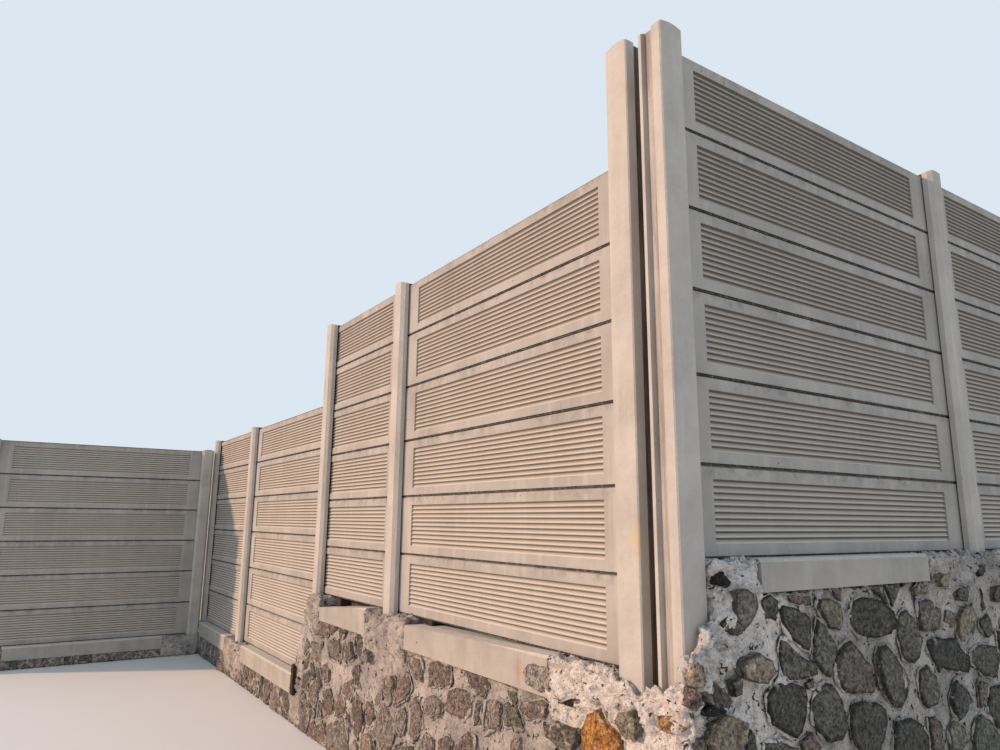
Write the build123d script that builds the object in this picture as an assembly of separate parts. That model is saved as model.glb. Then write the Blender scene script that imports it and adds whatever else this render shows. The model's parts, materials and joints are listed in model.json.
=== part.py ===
from build123d import *
import os

# Precast concrete panel fence on a rubble stone plinth, in millimetres.
# Ribbed planks are stacked between grooved concrete posts. The walls turn two corners in plan.
# The right run goes along +X and faces -Y, and the left run goes along +Y and faces -X.
# The far run goes along -X from the end of the left run and faces -Y.
# The origin is at ground level under the outer corner, where the two front planes of planks cross.

# Planks
course_height = 400.0
courses = 6
plank_thickness = 50.0
plank_seat = 20.0
end_border = 145.0
edge_border = 60.0
flute_count = 10
flute_depth = 9.0
arris_width = 3.0
arris_recess = 3.0
joint_gap = 8.0
tongue_width = 20.0
tongue_bite = 6.0
groove_clearance = 2.0
lip_height = 10.0
lip_depth = 5.0

# Posts, each with a slot down both sides
post_width = 150.0
post_nose = 65.0
post_tail = 35.0
slot_clearance = 3.0
slot_end_clearance = 5.0
slot_flare = 6.0
nose_chamfer = 25.0
corner_post_nose_chamfer = 6.0
tail_chamfer = 8.0
crown_rise = 14.0
post_rise = 25.0
corner_post_rise_right = 70.0
corner_post_rise_left = 610.0
post_embedment = 450.0
foot_cover = 40.0

# Clear widths between posts
standard_bay = 2310.0
cut_bay_near = 1330.0
cut_bay_far = 1740.0

# Heights of the lowest plank of each run above the ground
right_level = 1600.0
left_upper_level = 1115.0
left_lower_level = 400.0
far_level = 255.0

# Ground beams under the planks
beam_front = 105.0
beam_back = 140.0
beam_chamfer = 15.0
right_beam_height = 140.0
left_upper_beam_height = 190.0
left_lower_beam_height = 165.0
far_beam_height = 150.0
standard_bay_sag = 40.0
cut_bay_sag = 85.0

# Rubble masonry under the beams, and the mortar haunches round the feet of the posts
plinth_front = 90.0
plinth_back = 230.0
plinth_run_out = 150.0
haunch_reach = 300.0
long_reach_right = 620.0
long_reach_left = 460.0
cut_bay_near_reach = 200.0
cut_bay_far_reach = 185.0
run_end_reach = 100.0
haunch_front = 120.0
haunch_tail = 250.0
corner_haunch_drop = 60.0
toe_length = 260.0
toe_height = 600.0
toe_front = 110.0

# Brick shims on the sagging beams
shim_length = 110.0
shim_depth = 90.0
shim_setback = 10.0
shim_inset = 60.0

# Places in plan
right_corner_post_end = 70.0
corner_post_gap = 95.0
far_plane_offset = 30.0
far_corner_gap = 5.0

field_height = course_height - 2 * edge_border
flute_pitch = field_height / flute_count
slot_depth = plank_seat + slot_end_clearance
slot_front = -slot_clearance
slot_back = plank_thickness + slot_clearance
post_back = plank_thickness + post_tail
stack_height = courses * course_height


def prism(outline, length):
    """A closed outline in depth and height, drawn out along the wall about its middle."""
    wire = Plane.YZ * Polyline(*outline, close=True)
    return extrude(make_face(wire), amount=length / 2, both=True)


def block(low, high):
    """A box between two corners."""
    size = [b - a for a, b in zip(low, high)]
    middle = [(a + b) / 2 for a, b in zip(low, high)]
    return Pos(*middle) * Box(*size)


class Run:
    """A straight stretch of wall. Its pieces are made along X, facing -Y, then turned into place."""

    def __init__(self, name, level, beam_height, turned=False, plane=0.0):
        self.name = name
        self.level = level
        self.beam_height = beam_height
        self.turned = turned
        self.plane = plane

    def place(self, solid, station, height=0.0):
        """Sets a piece made about X = 0 at a station along the run."""
        if self.turned:
            return Pos(self.plane, station, height) * Rot(0, 0, -90) * solid
        return Pos(station, self.plane, height) * solid

    def box(self, start, end, front, back, bottom, top):
        """A box given by stations, depths behind the face of the planks, and heights."""
        solid = block((start, front, bottom), (end, back, top))
        if not self.turned:
            return Pos(0, self.plane, 0) * solid
        return block((self.plane + front, start, bottom), (self.plane + back, end, top))


right_run = Run("right", right_level, right_beam_height)
left_upper = Run("left_upper", left_upper_level, left_upper_beam_height, turned=True)
left_lower = Run("left_lower", left_lower_level, left_lower_beam_height, turned=True)


class Bay:
    """The opening between two posts. The beam lies between the haunches, which reach in from both."""

    def __init__(self, run, start, width, near_reach=haunch_reach, far_reach=haunch_reach, cut=False, sag=0.0):
        self.run = run
        self.start = start
        self.end = start + width
        self.width = width
        self.middle = start + width / 2
        self.cut = cut
        self.sag = sag
        self.beam_start = start + near_reach
        self.beam_end = start + width - far_reach


right_bay_near = Bay(right_run, right_corner_post_end, standard_bay, far_reach=long_reach_right)
right_bay_far = Bay(right_run, right_bay_near.end + post_width, standard_bay)
left_bay_1_start = post_back + corner_post_gap + post_width
left_bay_1 = Bay(left_upper, left_bay_1_start, standard_bay, near_reach=long_reach_left, sag=standard_bay_sag)
left_bay_2 = Bay(left_upper, left_bay_1.end + post_width, cut_bay_near, cut_bay_near_reach, cut_bay_far_reach,
                 cut=True, sag=cut_bay_sag)
left_bay_3 = Bay(left_lower, left_bay_2.end + post_width, standard_bay)
left_bay_4 = Bay(left_lower, left_bay_3.end + post_width, cut_bay_far, far_reach=run_end_reach, cut=True)
far_run = Run("far", far_level, far_beam_height, plane=left_bay_4.end + far_plane_offset)
far_bay_start = -(plinth_front + far_corner_gap + post_width + standard_bay)
far_bay = Bay(far_run, far_bay_start, standard_bay)
bays = [right_bay_near, right_bay_far, left_bay_1, left_bay_2, left_bay_3, left_bay_4, far_bay]


def plank_body(length):
    """The plank without its field: tongue on top, groove below, and a lip along the lower front edge."""
    middle = plank_thickness / 2
    tongue = tongue_width / 2
    groove = tongue + groove_clearance
    shoulder = course_height - joint_gap
    outline = [
        (lip_depth, 0),
        (middle - groove, 0),
        (middle - groove, tongue_bite),
        (middle + groove, tongue_bite),
        (middle + groove, 0),
        (plank_thickness, 0),
        (plank_thickness, shoulder),
        (middle + tongue, shoulder),
        (middle + tongue, course_height + tongue_bite),
        (middle - tongue, course_height + tongue_bite),
        (middle - tongue, shoulder),
        (0, shoulder),
        (0, lip_height),
        (lip_depth, lip_height),
    ]
    return prism(outline, length)


def flute_cutter(length):
    """Concave flutes side by side, each an arc between two blunt arrises."""
    edges = []
    outside = -flute_depth
    bottom = edge_border
    top = edge_border + field_height
    for number in range(flute_count):
        low = bottom + number * flute_pitch
        high = low + flute_pitch
        arc_low = low + arris_width / 2
        arc_high = high - arris_width / 2
        deepest = (arris_recess + flute_depth, (low + high) / 2)
        edges.append(Line((arris_recess, low), (arris_recess, arc_low)))
        edges.append(ThreePointArc((arris_recess, arc_low), deepest, (arris_recess, arc_high)))
        edges.append(Line((arris_recess, arc_high), (arris_recess, high)))
    edges.append(Line((arris_recess, top), (outside, top)))
    edges.append(Line((outside, top), (outside, bottom)))
    edges.append(Line((outside, bottom), (arris_recess, bottom)))
    face = make_face(Plane.YZ * Wire(edges))
    return extrude(face, amount=length / 2, both=True)


def plank(bay):
    """One plank of a bay. A cut plank has lost one end, so its flutes run out into the post's slot."""
    length = bay.width + 2 * plank_seat
    border = plank_seat + end_border
    field_start = -length / 2 + border
    field_end = length / 2 - border
    if bay.cut:
        # A turned run is made along X and turned back, so its far end is the low end here.
        field_start = -length / 2 - border
    cutter = flute_cutter(field_end - field_start)
    return plank_body(length) - Pos((field_start + field_end) / 2, 0, 0) * cutter


def course(run, number, plank_shapes):
    """The planks of one course of a run, one in each bay."""
    height = run.level + (number - 1) * course_height
    return [run.place(plank_shapes[bay], bay.middle, height) for bay in bays if bay.run is run]


def post(bottom, top, chamfer):
    """A grooved post with chamfered corners and an arched top, standing on X = 0."""
    half = post_width / 2
    web = half - slot_depth
    side = [
        (-half, post_back - tail_chamfer),
        (-half, slot_back + slot_flare),
        (-web, slot_back),
        (-web, slot_front),
        (-half, slot_front - slot_flare),
        (-half, -post_nose + chamfer),
        (-half + chamfer, -post_nose),
    ]
    nose_and_other_side = [(-x, y) for x, y in reversed(side)]
    tail = [(half - tail_chamfer, post_back), (-half + tail_chamfer, post_back)]
    section = Polyline(*side, *nose_and_other_side, *tail, close=True)
    shaft = Pos(0, 0, bottom) * extrude(make_face(section), amount=top - bottom)
    spring = top - crown_rise
    arch = Wire([
        Line((-half, bottom), (half, bottom)),
        Line((half, bottom), (half, spring)),
        ThreePointArc((half, spring), (0, top), (-half, spring)),
        Line((-half, spring), (-half, bottom)),
    ])
    reach = post_nose + post_back
    envelope = extrude(make_face(Plane.XZ * arch), amount=reach, both=True)
    return shaft & envelope


def foot_of(run):
    """The height of the feet of a run's posts, which end above the underside of the masonry."""
    return max(run.level - run.beam_height - post_embedment, foot_cover)


class PostPlace:
    """Where a post stands, and between which heights."""

    def __init__(self, name, run, start, bottom, top, chamfer=nose_chamfer):
        self.chamfer = chamfer
        self.name = name
        self.run = run
        self.start = start
        self.end = start + post_width
        self.bottom = bottom
        self.top = top

    def solid(self):
        return self.run.place(post(self.bottom, self.top, self.chamfer), (self.start + self.end) / 2)

    def pocket(self):
        """The hole in the masonry that the foot fills, with the post's own front corners."""
        half = post_width / 2
        outline = Polyline(
            (-half, post_back),
            (-half, -post_nose + self.chamfer),
            (-half + self.chamfer, -post_nose),
            (half - self.chamfer, -post_nose),
            (half, -post_nose + self.chamfer),
            (half, post_back),
            close=True,
        )
        hole = Pos(0, 0, self.bottom) * extrude(make_face(outline), amount=self.top - self.bottom)
        return self.run.place(hole, (self.start + self.end) / 2)


def bay_top(run):
    return run.level + stack_height


posts = [
    PostPlace("corner_post_right", right_run, right_bay_near.start - post_width, foot_of(left_upper),
              bay_top(right_run) + corner_post_rise_right, corner_post_nose_chamfer),
    PostPlace("corner_post_left", left_upper, left_bay_1.start - post_width, foot_of(left_upper),
              bay_top(left_upper) + corner_post_rise_left, corner_post_nose_chamfer),
    PostPlace("right_post_1", right_run, right_bay_near.end, foot_of(right_run),
              bay_top(right_run) + post_rise),
    PostPlace("right_post_2", right_run, right_bay_far.end, foot_of(right_run),
              bay_top(right_run) + post_rise),
    PostPlace("left_post_1", left_upper, left_bay_1.end, foot_of(left_upper),
              bay_top(left_upper) + post_rise),
    PostPlace("left_post_2", left_upper, left_bay_2.end, foot_of(left_lower),
              bay_top(left_upper) + post_rise),
    PostPlace("left_post_3", left_lower, left_bay_3.end, foot_of(left_lower),
              bay_top(left_lower) + post_rise),
    PostPlace("left_post_4", left_lower, left_bay_4.end, foot_of(left_lower),
              bay_top(left_lower) + post_rise),
    PostPlace("far_post_1", far_run, far_bay.end, foot_of(far_run), bay_top(far_run) + post_rise),
    PostPlace("far_post_2", far_run, far_bay.start - post_width, foot_of(far_run),
              bay_top(far_run) + post_rise),
]


def beam(bay):
    """A cast ground beam between two haunches. Where it sags, its top falls away from the planks."""
    run = bay.run
    length = bay.beam_end - bay.beam_start
    height = run.beam_height
    outline = [
        (-beam_front, -height),
        (beam_back, -height),
        (beam_back, 0),
        (-beam_front + beam_chamfer, 0),
        (-beam_front, -beam_chamfer),
    ]
    solid = prism(outline, length)
    if bay.sag:
        # The far end of a turned run is the low end of X here.
        reach = beam_front + beam_back
        wedge = Plane.XZ * Polyline((length / 2, 0), (-length / 2, -bay.sag), (-length / 2, 1), (length / 2, 1),
                                    close=True)
        solid = solid - extrude(make_face(wedge), amount=reach, both=True)
    return run.place(solid, (bay.beam_start + bay.beam_end) / 2, run.level)


def shim(bay):
    """A piece of brick between the sagging beam and the lowest plank."""
    far_end = bay.beam_end - shim_inset
    near_end = far_end - shim_length

    def beam_drop(station):
        return bay.sag * (station - bay.beam_start) / (bay.beam_end - bay.beam_start)

    middle = (near_end + far_end) / 2
    half = shim_length / 2
    side = Plane.XZ * Polyline((-half, -beam_drop(far_end)), (half, -beam_drop(near_end)), (half, 0), (-half, 0),
                               close=True)
    depth = shim_depth / 2
    solid = Pos(0, shim_setback + depth, 0) * extrude(make_face(side), amount=depth, both=True)
    return bay.run.place(solid, middle, bay.run.level)


def haunch(run, start, end, top):
    """Mortar banked round the feet of posts, up to the underside of the planks."""
    height = run.beam_height + haunch_tail
    outline = [
        (-plinth_front, -height),
        (plinth_back, -height),
        (plinth_back, -run.beam_height),
        (beam_back, 0),
        (-haunch_front + beam_chamfer, 0),
        (-haunch_front, -run.beam_height),
    ]
    floor = run.box(start, end, -haunch_front, plinth_back, 0, top)
    return run.place(prism(outline, end - start), (start + end) / 2, top) & floor


def masonry(run, start, end):
    """The stone wall of a run, up to the underside of its beams."""
    return run.box(start, end, -plinth_front, plinth_back, 0, run.level - run.beam_height)


def with_pockets(solid):
    """Cuts the pockets of all the posts that stand in a piece of masonry."""
    for place in posts:
        solid = solid - place.pocket()
    return solid


def right_plinth():
    start = right_bay_near.start
    end = right_bay_far.end + post_width
    solid = masonry(right_run, start, end + plinth_run_out)
    solid = solid + haunch(right_run, start, right_bay_near.beam_start, right_run.level)
    solid = solid + haunch(right_run, right_bay_near.beam_end, right_bay_far.beam_start, right_run.level)
    solid = solid + haunch(right_run, right_bay_far.beam_end, end, right_run.level)
    return with_pockets(solid)


def left_upper_plinth():
    """The upper half of the left run's masonry, with the corner under the two corner posts."""
    end = left_bay_2.end + post_width
    corner = -plinth_front
    post_line = left_bay_1.start
    corner_top = left_upper.level - corner_haunch_drop
    solid = masonry(left_upper, corner, end)
    solid = solid + haunch(left_upper, corner, post_line, corner_top)
    solid = solid + haunch(left_upper, post_line, left_bay_1.beam_start, left_upper.level)
    solid = solid + haunch(left_upper, left_bay_1.beam_end, left_bay_2.beam_start, left_upper.level)
    solid = solid + haunch(left_upper, left_bay_2.beam_end, end, left_upper.level)
    bottom = left_lower.level
    toe = Plane.YZ * Polyline((end, bottom), (end + toe_length, bottom), (end, bottom + toe_height), close=True)
    solid = solid + Pos(-toe_front, 0, 0) * extrude(make_face(toe), amount=toe_front)
    # The right run's masonry holds the rest of the corner.
    neighbour = block((right_bay_near.start, -2 * haunch_front, -1),
                      (right_bay_near.start + 2 * plinth_back, plinth_back, right_run.level))
    return with_pockets(solid - neighbour)


def left_lower_plinth():
    start = left_bay_2.end + post_width
    end = left_bay_4.end + post_width
    solid = masonry(left_lower, start, end + plinth_run_out)
    solid = solid + haunch(left_lower, start, left_bay_3.beam_start, left_lower.level)
    solid = solid + haunch(left_lower, left_bay_3.beam_end, left_bay_4.beam_start, left_lower.level)
    solid = solid + haunch(left_lower, left_bay_4.beam_end, end, left_lower.level)
    neighbour = far_run.box(far_bay.start, -plinth_front, -haunch_front, plinth_back, -1, far_run.level)
    return with_pockets(solid - neighbour)


def far_plinth():
    start = far_bay.start - post_width
    end = -plinth_front
    solid = masonry(far_run, start - plinth_run_out, end)
    solid = solid + haunch(far_run, start, far_bay.beam_start, far_run.level)
    solid = solid + haunch(far_run, far_bay.beam_end, end, far_run.level)
    return with_pockets(solid)


def write(name, shapes):
    """Writes one piece, or several that stand apart, to its own file."""
    solids = [solid for shape in shapes for solid in shape.solids()]
    whole = solids[0] if len(solids) == 1 else Compound(children=solids)
    export_step(whole, f"parts/{name}.step")


os.makedirs("parts", exist_ok=True)

plank_shapes = {bay: plank(bay) for bay in bays}
for run in (right_run, left_upper, left_lower, far_run):
    for number in range(1, courses + 1):
        write(f"{run.name}_planks_course_{number}", course(run, number, plank_shapes))
    write(f"{run.name}_ground_beams", [beam(bay) for bay in bays if bay.run is run])
for place in posts:
    write(place.name, [place.solid()])
write("left_upper_brick_shims", [shim(bay) for bay in bays if bay.sag])
write("right_plinth", [right_plinth()])
write("left_upper_plinth", [left_upper_plinth()])
write("left_lower_plinth", [left_lower_plinth()])
write("far_plinth", [far_plinth()])
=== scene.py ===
import json
import math
import random
from functools import partial

import bmesh
import bpy
from mathutils import Matrix, Vector

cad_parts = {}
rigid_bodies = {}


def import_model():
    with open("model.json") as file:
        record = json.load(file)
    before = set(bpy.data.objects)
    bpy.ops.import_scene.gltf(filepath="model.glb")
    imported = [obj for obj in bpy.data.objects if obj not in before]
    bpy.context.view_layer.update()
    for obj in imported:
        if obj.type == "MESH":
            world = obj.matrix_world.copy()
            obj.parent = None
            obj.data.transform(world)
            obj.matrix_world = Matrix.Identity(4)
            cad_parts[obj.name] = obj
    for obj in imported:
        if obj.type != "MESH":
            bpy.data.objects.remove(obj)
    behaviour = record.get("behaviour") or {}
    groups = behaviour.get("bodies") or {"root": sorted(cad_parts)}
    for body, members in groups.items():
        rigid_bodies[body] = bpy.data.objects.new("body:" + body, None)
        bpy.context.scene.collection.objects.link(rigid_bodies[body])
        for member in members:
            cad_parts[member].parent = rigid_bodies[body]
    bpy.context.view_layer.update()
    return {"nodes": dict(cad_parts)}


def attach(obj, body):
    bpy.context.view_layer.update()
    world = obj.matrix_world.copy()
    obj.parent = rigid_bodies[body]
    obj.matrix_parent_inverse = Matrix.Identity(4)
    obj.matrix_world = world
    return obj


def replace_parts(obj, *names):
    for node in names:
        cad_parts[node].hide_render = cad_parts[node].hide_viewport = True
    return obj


# Precast concrete panel fence on a rubble stone plinth.
# The right run faces -Y, the left run faces -X and the far run faces -Y at the end of the left run.
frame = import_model()
cadNodes = frame["nodes"]
print("frame loaded:", len(cadNodes), "nodes")


def toLinear(hexColour):
    # sRGB hex to the linear colour that the shaders use
    channels = [int(hexColour[i:i + 2], 16) / 255 for i in (1, 3, 5)]
    return [c / 12.92 if c <= 0.04045 else ((c + 0.055) / 1.055) ** 2.4 for c in channels] + [1.0]


def addNode(tree, kind, inputs=None, stops=None, **settings):
    # adds a node, sets its options, then fills or links its inputs by name or number;
    # a node given for an input stands for its first output
    node = tree.nodes.new(kind)
    for name, value in settings.items():
        setattr(node, name, value)
    for key, value in (inputs or {}).items():
        if isinstance(value, bpy.types.Node):
            value = value.outputs[0]
        if isinstance(value, bpy.types.NodeSocket):
            tree.links.new(value, node.inputs[key])
        else:
            node.inputs[key].default_value = value
    for number, (position, colour) in enumerate(stops or []):
        ramp = node.color_ramp.elements
        stop = ramp[number] if number < 2 else ramp.new(position)
        stop.position = position
        stop.color = toLinear(colour)
    return node


def startMaterial(name):
    material = bpy.data.materials.new(name)
    material.use_nodes = True
    return material, partial(addNode, material.node_tree)


def layered(add, colour, layers):
    # lays tones over a colour one by one, each where all its masks hold
    for tone, mask, *others in layers:
        for other in others:
            mask = add("ShaderNodeMath", {0: mask, 1: other}, operation="MULTIPLY")
        colour = add("ShaderNodeMix", {0: mask, 6: colour, 7: toLinear(tone)}, data_type="RGBA").outputs[2]
    return colour


def finishMaterial(material, add, finish, colour, relief):
    # joins a colour and a relief to the shader, with one roughness and gloss all over
    shader, links = material.node_tree.nodes["Principled BSDF"], material.node_tree.links
    bump = add("ShaderNodeBump", {"Height": relief, "Distance": finish["bumpDepth"],
                                  "Strength": finish["bumpStrength"]})
    links.new(colour, shader.inputs["Base Color"])
    links.new(bump.outputs[0], shader.inputs["Normal"])
    shader.inputs["Roughness"].default_value = finish["roughness"]
    shader.inputs["Specular IOR Level"].default_value = finish["gloss"]
    return material


# Cast concrete: matt and slightly chalky, with sand grain, air holes, rain streaks and damp patches.
# Its colours are those of dry grey cement with a warm sand in it.
plankFinish = {
    "dry": "#aca69e",
    "damp": "#97928b",
    "streak": "#bbb4aa",
    "grain": "#88837b",
    # painted shade in the air holes
    "hole": "#4a453f",
    "flute": "#a19689",
    # painted shade with some grime, on what faces down under the arrises
    "undersideShadeAndGrime": "#4f473f",
    "dust": "#d8cfc3",
    "jointDirt": "#625b54",
    # nearly black painted shade with dirt, inside the open joints
    "jointShadeAndDirt": "#221e1b",
    "upwardTone": ("#5a544c", 0.35, 0.85),   # soot on what faces up: colour, least and most
    "patchSize": 0.55,
    "grainSize": 0.004,     # sand of 1 mm, drawn at 4 mm so that it shows
    "holeSpacing": 0.045,
    "holeShare": 0.2,
    "bumpDepth": 0.0018,
    "bumpStrength": 0.8,
    "roughness": 0.9,
    "gloss": 0.3,
}
postFinish = dict(plankFinish, dry="#bdb6ac", damp="#aca59c", streak="#c6bfb4", grain="#948e85",
                  patchSize=0.3, holeSpacing=0.035, holeShare=0.26, bumpDepth=0.0045)
beamFinish = dict(plankFinish, dry="#aba49a", damp="#98928a", streak="#b5aea2", patchSize=0.3,
                  holeSpacing=0.09, holeShare=0.1, bumpDepth=0.0014, roughness=0.84,
                  # painted light with dust: the beam tops get less sun than their fronts, so they are painted
                  # paler
                  upwardTone=("#cfc6b9", 0.4, 0.8))   # dust, not soot
courseHeight = 0.4      # of one plank
plankBack = 0.03        # how far in from the planks' face their backs begin, for the dirt


def concreteMaterial(name, finish, turn=0.0, plane=0.0, level=None, undersideShadeStrength=0.8, slotStainAndShade=None, rustAt=None,
                     rustColour="#a8763f"):
    material, add = startMaterial(name)
    coords = add("ShaderNodeTexCoord").outputs
    # X now runs along the wall, Y goes in from the planks' face, and Z goes up
    place = add("ShaderNodeMapping", {"Vector": coords["Object"], "Location": (0, -plane, 0),
                                      "Rotation": (0, 0, turn)})
    axes = add("ShaderNodeSeparateXYZ", {0: place}).outputs
    facing = add("ShaderNodeSeparateXYZ", {0: coords["Normal"]}).outputs["Z"]
    patches = add("ShaderNodeTexNoise", {"Vector": place, "Scale": 1 / finish["patchSize"], "Detail": 6.0,
                                         "Roughness": 0.62})
    patchShare = add("ShaderNodeMapRange", {"Value": patches, "From Min": 0.38, "From Max": 0.66})
    stretched = add("ShaderNodeMapping", {"Vector": place, "Scale": (14, 14, 0.9)})
    rain = add("ShaderNodeTexNoise", {"Vector": stretched, "Scale": 1.0, "Detail": 5.0})
    rainShare = add("ShaderNodeMapRange", {"Value": rain, "From Min": 0.52, "From Max": 0.72, "To Max": 0.55})
    layers = [(finish["damp"], patchShare), (finish["streak"], rainShare)]

    if level is not None:
        # flutes: a warmer tone inside them, painted shade with some grime on what faces down under each
        # arris, and dust on what faces up
        inFlute = add("ShaderNodeMapRange", {"Value": axes["Y"], "From Min": 0.0015, "From Max": 0.006,
                                             "To Max": 0.55})
        notBack = add("ShaderNodeMath", {0: axes["Y"], 1: plankBack}, operation="LESS_THAN")
        underside = add("ShaderNodeMapRange", {"Value": facing, "From Min": -0.04, "From Max": -0.5,
                                               "To Max": undersideShadeStrength})
        topside = add("ShaderNodeMapRange", {"Value": facing, "From Min": 0.15, "From Max": 0.8,
                                             "To Max": 0.75})
        # dirt that water leaves along the joints between courses
        above = add("ShaderNodeMath", {0: axes["Z"], 1: level}, operation="SUBTRACT")
        inCourse = add("ShaderNodeMath", {0: above, 1: courseHeight}, operation="FLOORED_MODULO")
        toJoint = add("ShaderNodeMath", {0: inCourse, 1: courseHeight, 2: 0.0}, operation="PINGPONG")
        nearTop = add("ShaderNodeMapRange", {"Value": inCourse, "From Min": 0.33, "From Max": 0.395})
        nearBottom = add("ShaderNodeMapRange", {"Value": toJoint, "From Min": 0.022, "From Max": 0.0})
        nearJoint = add("ShaderNodeMath", {0: nearTop, 1: nearBottom}, operation="MAXIMUM")
        ragged = add("ShaderNodeTexNoise", {"Vector": place, "Scale": 11.0, "Detail": 6.0, "Roughness": 0.7})
        raggedShare = add("ShaderNodeMapRange", {"Value": ragged, "From Min": 0.47, "From Max": 0.7,
                                                 "To Max": 0.75})
        # painted shade, nearly black, with dirt and mould inside the open joint, 3 mm and more behind the
        # face, with crumbs of cement
        withinJoint = add("ShaderNodeMapRange", {"Value": toJoint, "From Min": 0.013, "From Max": 0.011})
        deep = add("ShaderNodeMapRange", {"Value": axes["Y"], "From Min": 0.002, "From Max": 0.005,
                                          "To Max": 0.95})
        crumbs = add("ShaderNodeTexNoise", {"Vector": place, "Scale": 75.0, "Detail": 4.0, "Roughness": 0.75})
        crumbFree = add("ShaderNodeMapRange", {"Value": crumbs, "From Min": 0.66, "From Max": 0.5,
                                               "To Min": 0.45})
        layers += [(finish["flute"], inFlute, notBack), (finish["undersideShadeAndGrime"], underside),
                   (finish["dust"], topside), (finish["jointDirt"], nearJoint, raggedShare),
                   (finish["jointShadeAndDirt"], withinJoint, deep, notBack, crumbFree)]
    else:
        # soot settles on what faces up on the posts; on the beams a paler tone, dust and painted light, for
        # tops that get less sun than their fronts
        upwardTone, least, most = finish["upwardTone"]
        upwardPatches = add("ShaderNodeTexNoise", {"Vector": place, "Scale": 18.0, "Detail": 6.0, "Roughness": 0.7})
        upwardPatchShare = add("ShaderNodeMapRange", {"Value": upwardPatches, "From Min": 0.3, "From Max": 0.6,
                                               "To Min": least, "To Max": most})
        upward = add("ShaderNodeMapRange", {"Value": facing, "From Min": 0.35, "From Max": 0.8})
        layers.append((upwardTone, upward, upwardPatchShare))

    if slotStainAndShade:
        # mould and cement slurry left in the open slots of the posts, and nearly black painted shade where a
        # plank's end closes them and in the slot that faces the other corner post
        inSlot = add("ShaderNodeMapRange", {"Value": axes["Y"], "From Min": slotStainAndShade["from"],
                                            "From Max": slotStainAndShade["from"] + 0.0037})
        pastSlot = add("ShaderNodeMapRange", {"Value": axes["Y"], "From Min": 0.062, "From Max": 0.052})
        slotPatches = add("ShaderNodeTexNoise", {"Vector": stretched, "Scale": 1.6, "Detail": 6.0,
                                           "Roughness": 0.7})
        slotToneShare = add("ShaderNodeMapRange", {"Value": slotPatches, "From Min": 0.4, "From Max": 0.6,
                                                "To Min": slotStainAndShade["least"], "To Max": slotStainAndShade["most"]})
        layers.append((slotStainAndShade["colour"], inSlot, pastSlot, slotToneShare))

    if rustAt:
        # a ragged upright stain, as where a stirrup rusts near the surface
        fromRust = add("ShaderNodeVectorMath", {0: place, 1: rustAt}, operation="SUBTRACT")
        narrowed = add("ShaderNodeVectorMath", {0: fromRust, 1: (1.9, 1.0, 0.55)}, operation="MULTIPLY")
        toRust = add("ShaderNodeVectorMath", {0: narrowed}, operation="LENGTH").outputs["Value"]
        bloom = add("ShaderNodeTexNoise", {"Vector": place, "Scale": 30.0, "Detail": 8.0, "Roughness": 0.8})
        spread = add("ShaderNodeMath", {0: bloom, 1: 0.26, 2: toRust}, operation="MULTIPLY_ADD")
        rustShare = add("ShaderNodeMapRange", {"Value": spread, "From Min": 0.19, "From Max": 0.13,
                                               "To Max": 0.55})
        layers.append((rustColour, rustShare))

    grain = add("ShaderNodeTexNoise", {"Vector": place, "Scale": 1 / finish["grainSize"], "Detail": 2.0,
                                       "Roughness": 0.6})
    grainShare = add("ShaderNodeMapRange", {"Value": grain, "From Min": 0.56, "From Max": 0.72,
                                            "To Max": 0.5})
    # air holes: small pits at the middles of some of the Voronoi cells, painted dark as shade
    cells = add("ShaderNodeTexVoronoi", {"Vector": place, "Scale": 1 / finish["holeSpacing"]}, feature="F1")
    chosen = add("ShaderNodeSeparateColor", {0: cells.outputs["Color"]}).outputs
    isHole = add("ShaderNodeMath", {0: chosen[0], 1: finish["holeShare"]}, operation="LESS_THAN")
    holeSize = add("ShaderNodeMapRange", {"Value": chosen[1], "To Min": 0.03, "To Max": 0.1})
    rim = add("ShaderNodeMath", {0: holeSize, 1: cells.outputs["Distance"]}, operation="SUBTRACT")
    pit = add("ShaderNodeMapRange", {"Value": rim, "From Min": 0.0, "From Max": 0.02})
    pit = add("ShaderNodeMath", {0: pit, 1: isHole}, operation="MULTIPLY")
    layers += [(finish["grain"], grainShare), (finish["hole"], pit)]

    swell = add("ShaderNodeTexNoise", {"Vector": place, "Scale": 38.0, "Detail": 4.0})
    relief = add("ShaderNodeMath", {0: grain, 1: 0.5, 2: swell}, operation="MULTIPLY_ADD")
    relief = add("ShaderNodeMath", {0: relief, 1: pit}, operation="SUBTRACT")
    return finishMaterial(material, add, finish, layered(add, toLinear(finish["dry"]), layers), relief)


# Rubble: split andesite and river stone, dull and close-grained, with lime bloom and smeared mortar on it.
stoneFinish = {"smear": "#aaa298", "lichen": "#8d8873", "grainSize": 0.009, "patchSize": 0.06,
               "chipSize": 0.018, "smearFrom": 0.62, "crevice": 0.3, "bumpDepth": 0.012, "bumpStrength": 1.0,
               "roughness": 0.86, "gloss": 0.35}
# the left run's stones carry a warmer dust and more of the thrown mortar
sunnyStoneFinish = dict(stoneFinish, smear="#d2bca5", lichen="#ab987f", smearFrom=0.58, crevice=0.72)


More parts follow.
